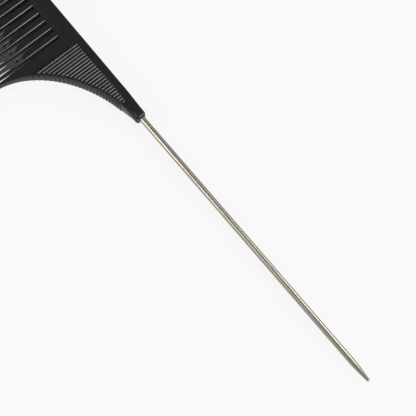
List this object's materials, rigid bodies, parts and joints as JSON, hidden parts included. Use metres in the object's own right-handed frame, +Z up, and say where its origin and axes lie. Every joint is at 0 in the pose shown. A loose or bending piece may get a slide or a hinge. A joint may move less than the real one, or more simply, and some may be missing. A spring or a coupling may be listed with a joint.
{
  "type": "rat tail comb",
  "caption": "Slim black plastic styling comb with paired fine teeth, a ribbed concave finger grip and a long thin round steel tail with a blunt tip.",
  "frame": {"origin": "centre of the part's outline seen from above, on the plane of its underside", "axes": "+X along the comb from the toothed head to the tip of the tail, +Y across it towards the spine, +Z up out of the upper face"},
  "size_m": [0.2348, 0.032, 0.0054],
  "materials": {
    "black_plastic": "moulded, semi-gloss",
    "stainless_steel": "drawn and polished along its length"
  },
  "bodies": {
    "root": {"comb_body": "black_plastic", "tail_pin": "stainless_steel"}
  },
  "joints": []
}
